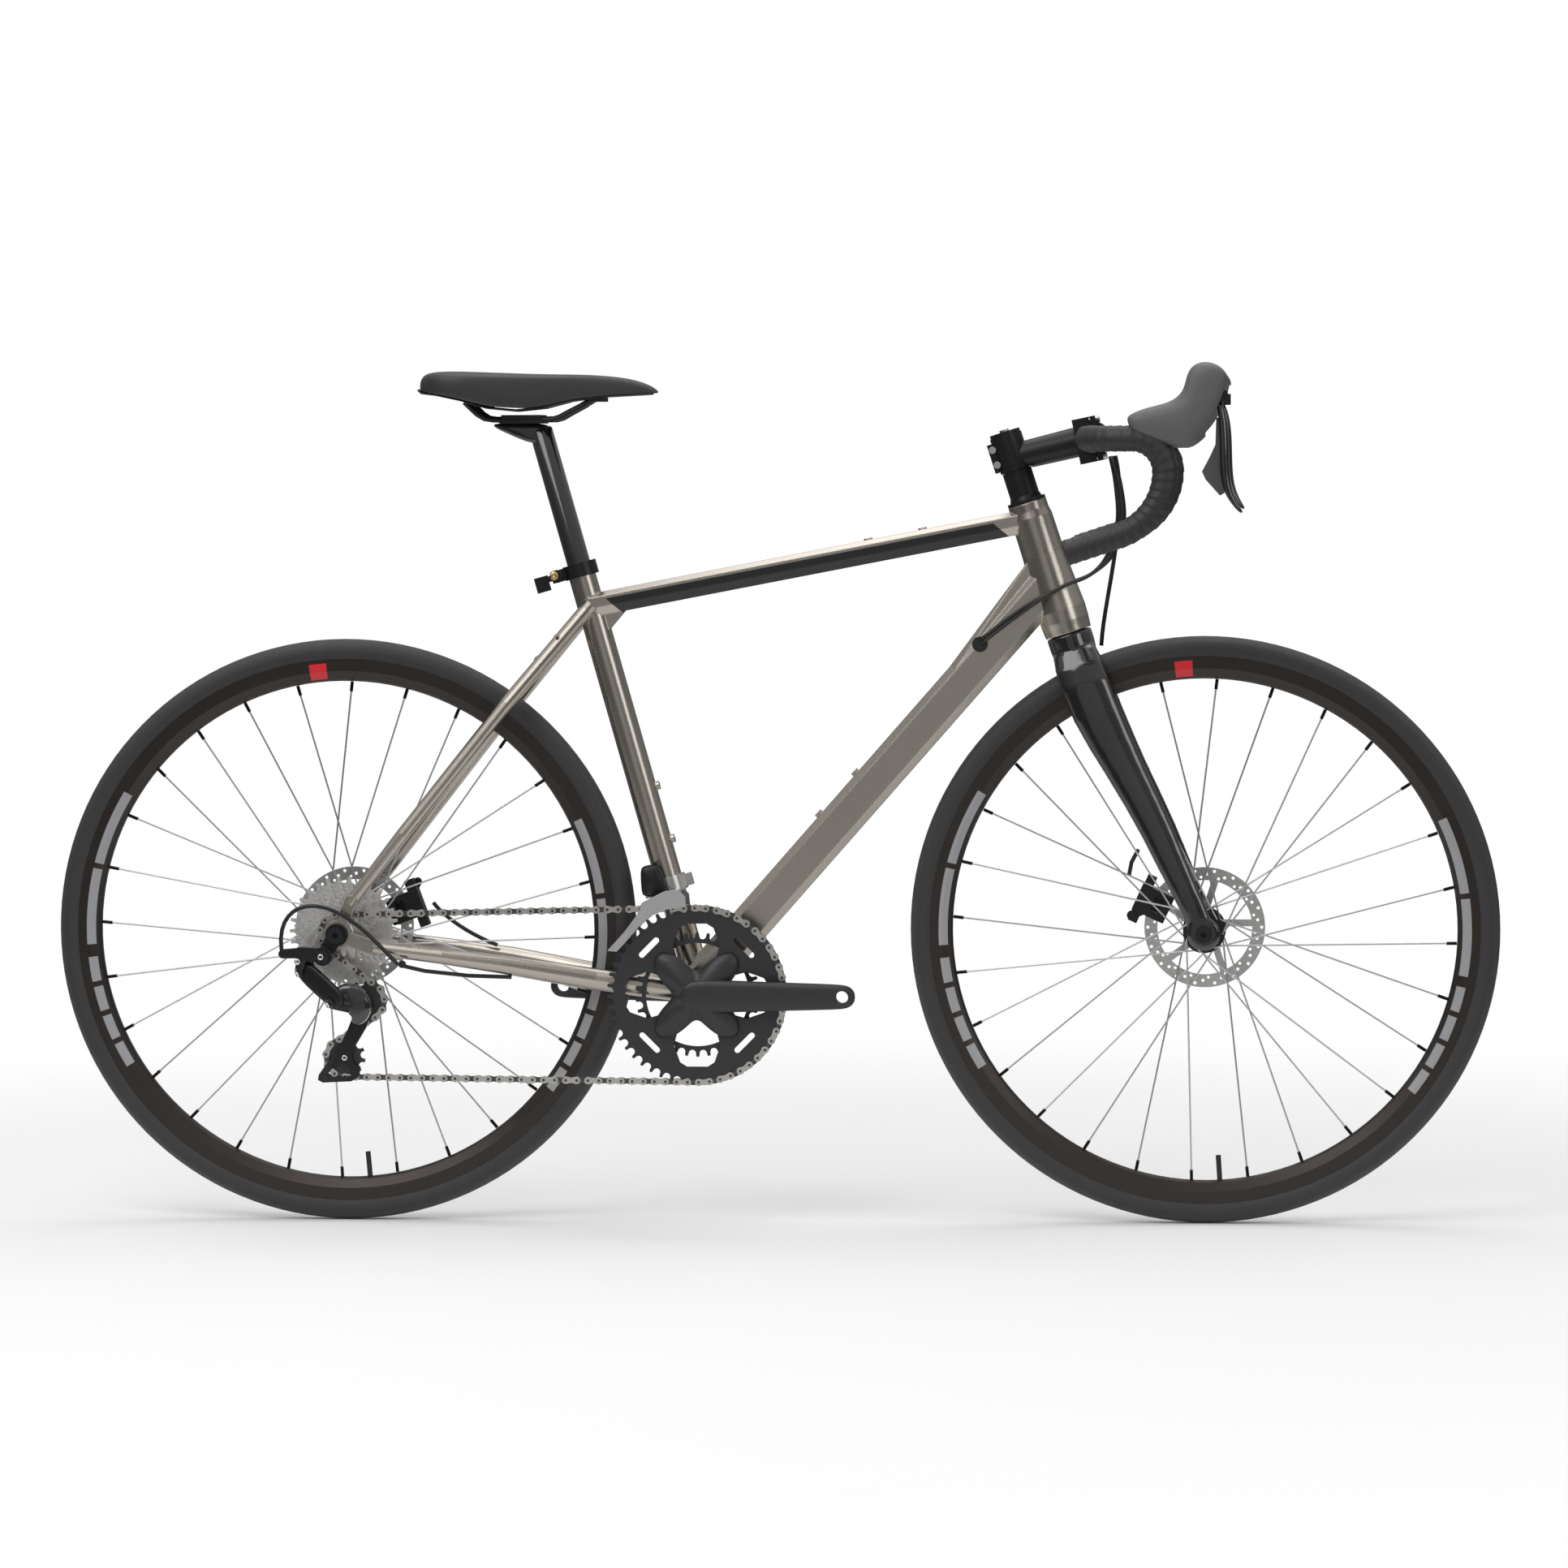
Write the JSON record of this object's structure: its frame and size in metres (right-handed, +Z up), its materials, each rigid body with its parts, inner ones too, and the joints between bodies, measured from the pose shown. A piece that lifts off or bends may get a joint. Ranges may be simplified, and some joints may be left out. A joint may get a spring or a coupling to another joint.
{
  "type": "road bicycle",
  "caption": "Disc-brake road bicycle with drop handlebar, twin chainrings, wide-range cassette, spoked wheels and a slim padded saddle.",
  "frame": {"origin": "on the ground plane, midway between the two wheel axles, in the centre plane of the bicycle", "axes": "+X forward, +Y to the rider's left, +Z up; metres"},
  "size_m": [1.68, 0.454, 0.9895],
  "materials": {
    "titanium": "brushed, warm champagne silver with a dark panel on each side of the top tube",
    "black_satin": "satin black anodised",
    "black_gloss": "gloss black lacquer",
    "rim_brown": "dark brown-black anodised",
    "steel": "bright plated steel",
    "spoke_steel": "plain stainless",
    "crank_grey": "satin dark grey",
    "tyre": "matte with a fine file tread",
    "rubber": "matte dark grey",
    "tape": "wrapped soft tape with visible overlaps",
    "plastic": "matte black",
    "saddle": "matte synthetic cover",
    "housing": "gloss black cable outer"
  },
  "bodies": {
    "frame_body": {"frame": "titanium", "derailleur_hanger": "black_satin", "headset_bearings": "steel", "bottom_bracket": "black_satin", "rear_axle": "black_satin", "rear_caliper": "black_satin", "front_derailleur_bracket": "black_satin", "seat_collar": "black_satin", "chain": "steel", "frame_housings": "housing", "derailleur_housing": "housing", "bar_housings": "housing", "derailleur_bracket": "black_satin"},
    "steering_body": {"fork": "black_gloss", "headset_spacers": "black_satin", "stem": "black_satin", "stem_faceplate": "black_satin", "stem_bolts": "steel", "handlebar": "black_satin", "bar_tapes": "tape", "hoods": "rubber", "front_axle": "black_satin", "front_caliper": "black_satin", "front_brake_housing": "housing"},
    "front_wheel": {"front_tyre": "tyre", "front_rim": "rim_brown", "front_spokes": "spoke_steel", "front_hub": "black_satin", "front_rotor": "steel"},
    "rear_wheel": {"rear_tyre": "tyre", "rear_rim": "rim_brown", "rear_spokes": "spoke_steel", "rear_hub": "black_satin", "rear_rotor": "steel"},
    "cassette_body": {"cassette": "steel"},
    "crankset": {"crank_right": "crank_grey", "crank_left": "crank_grey", "outer_chainring": "crank_grey", "inner_chainring": "crank_grey", "chainring_bolts": "crank_grey"},
    "link_body": {"derailleur_link": "black_satin"},
    "knuckle_body": {"derailleur_knuckle": "black_satin"},
    "cage_body": {"derailleur_cage": "black_satin"},
    "guide_pulley_body": {"guide_pulley": "plastic"},
    "tension_pulley_body": {"tension_pulley": "plastic"},
    "front_cage_body": {"front_derailleur_cage": "steel"},
    "seat_body": {"seatpost": "black_gloss", "saddle_clamp": "black_satin", "saddle_rails": "black_satin", "saddle_base": "plastic", "saddle_cover": "saddle"},
    "seat_lever_body": {"seat_clamp_lever": "black_satin"},
    "rear_arm_body": {"rear_brake_arm": "black_satin"},
    "front_arm_body": {"front_brake_arm": "black_satin"},
    "yoke_right_body": {"lever_yoke_right": "black_satin"},
    "yoke_left_body": {"lever_yoke_left": "black_satin"},
    "blade_right_body": {"brake_lever_right": "black_gloss"},
    "blade_left_body": {"brake_lever_left": "black_gloss"},
    "paddle_right_body": {"shift_paddle_right": "plastic"},
    "paddle_left_body": {"shift_paddle_left": "plastic"}
  },
  "joints": [
    {"name": "steering", "type": "hinge", "parent": "frame_body", "child": "steering_body", "pos_m": [0.34426, 0, 0.68429], "axis": [-0.3007, 0, 0.9537], "range_deg": [-60, 60], "deforming": ["bar_housings"]},
    {"name": "front_wheel_spin", "type": "hinge", "parent": "steering_body", "child": "front_wheel", "pos_m": [0.5, 0, 0.34], "axis": [0, 1, 0], "continuous": true},
    {"name": "rear_wheel_spin", "type": "hinge", "parent": "frame_body", "child": "rear_wheel", "pos_m": [-0.5, 0, 0.34], "axis": [0, 1, 0], "continuous": true},
    {"name": "crank_turn", "type": "hinge", "parent": "frame_body", "child": "crankset", "pos_m": [-0.085, 0, 0.268], "axis": [0, 1, 0], "continuous": true, "deforming": ["chain"]},
    {"name": "cassette_turn", "type": "hinge", "parent": "frame_body", "child": "cassette_body", "pos_m": [-0.5, 0, 0.34], "axis": [0, 1, 0], "continuous": true},
    {"name": "derailleur_link_swing", "type": "hinge", "parent": "frame_body", "child": "link_body", "pos_m": [-0.537, -0.082, 0.301], "axis": [0.6899, 0.554, 0.466], "range_deg": [0, 44], "deforming": ["chain"]},
    {"name": "derailleur_knuckle_turn", "type": "hinge", "parent": "link_body", "child": "knuckle_body", "pos_m": [-0.4988, -0.1007, 0.2666], "axis": [0.6899, 0.554, 0.466], "range_deg": [-44, 0]},
    {"name": "derailleur_cage_swing", "type": "hinge", "parent": "knuckle_body", "child": "cage_body", "pos_m": [-0.473, -0.067, 0.257], "axis": [0, 1, 0], "range_deg": [-60, 20], "deforming": ["chain"]},
    {"name": "guide_pulley_turn", "type": "hinge", "parent": "cage_body", "child": "guide_pulley_body", "pos_m": [-0.47, -0.062, 0.262], "axis": [0, 1, 0], "continuous": true},
    {"name": "tension_pulley_turn", "type": "hinge", "parent": "cage_body", "child": "tension_pulley_body", "pos_m": [-0.4945, -0.062, 0.196], "axis": [0, 1, 0], "continuous": true},
    {"name": "front_derailleur_shift", "type": "slide", "parent": "frame_body", "child": "front_cage_body", "axis": [0, 1, 0], "range_m": [0, 0.0078], "deforming": ["chain"]},
    {"name": "seatpost_height", "type": "slide", "parent": "frame_body", "child": "seat_body", "axis": [-0.2689, 0, 0.9632], "range_m": [-0.1, 0.06]},
    {"name": "seat_lever_swing", "type": "hinge", "parent": "frame_body", "child": "seat_lever_body", "pos_m": [-0.24815, 0.018, 0.75195], "axis": [-0.2689, 0, 0.9632], "range_deg": [-110, 0]},
    {"name": "right_brake_pull", "type": "hinge", "parent": "steering_body", "child": "yoke_right_body", "pos_m": [0.513, -0.21, 0.958], "axis": [0, 1, 0], "range_deg": [0, 15]},
    {"name": "left_brake_pull", "type": "hinge", "parent": "steering_body", "child": "yoke_left_body", "pos_m": [0.513, 0.21, 0.958], "axis": [0, 1, 0], "range_deg": [0, 15]},
    {"name": "right_lever_swing", "type": "hinge", "parent": "yoke_right_body", "child": "blade_right_body", "pos_m": [0.521, -0.21, 0.95], "axis": [1, 0, 0], "range_deg": [0, 15]},
    {"name": "left_lever_swing", "type": "hinge", "parent": "yoke_left_body", "child": "blade_left_body", "pos_m": [0.521, 0.21, 0.95], "axis": [-1, 0, 0], "range_deg": [0, 15]},
    {"name": "right_paddle_swing", "type": "hinge", "parent": "yoke_right_body", "child": "paddle_right_body", "pos_m": [0.521, -0.21, 0.95], "axis": [1, 0, 0], "range_deg": [0, 12]},
    {"name": "left_paddle_swing", "type": "hinge", "parent": "yoke_left_body", "child": "paddle_left_body", "pos_m": [0.521, 0.21, 0.95], "axis": [-1, 0, 0], "range_deg": [0, 12]},
    {"name": "rear_brake_arm_turn", "type": "hinge", "parent": "frame_body", "child": "rear_arm_body", "pos_m": [-0.44362, 0.055, 0.36052], "axis": [0, 1, 0], "range_deg": [0, 14]},
    {"name": "front_brake_arm_turn", "type": "hinge", "parent": "steering_body", "child": "front_arm_body", "pos_m": [0.44562, 0.0395, 0.36536], "axis": [0, 1, 0], "range_deg": [0, 14]}
  ],
  "couplings": [
    {"joint": "cassette_turn", "follows": "crank_turn", "ratio": 4.5455},
    {"joint": "guide_pulley_turn", "follows": "crank_turn", "ratio": -4.5455},
    {"joint": "tension_pulley_turn", "follows": "crank_turn", "ratio": 4.5455},
    {"joint": "derailleur_knuckle_turn", "follows": "derailleur_link_swing", "ratio": -1},
    {"joint": "rear_brake_arm_turn", "follows": "right_brake_pull", "ratio": 0.8},
    {"joint": "front_brake_arm_turn", "follows": "left_brake_pull", "ratio": 0.8}
  ]
}
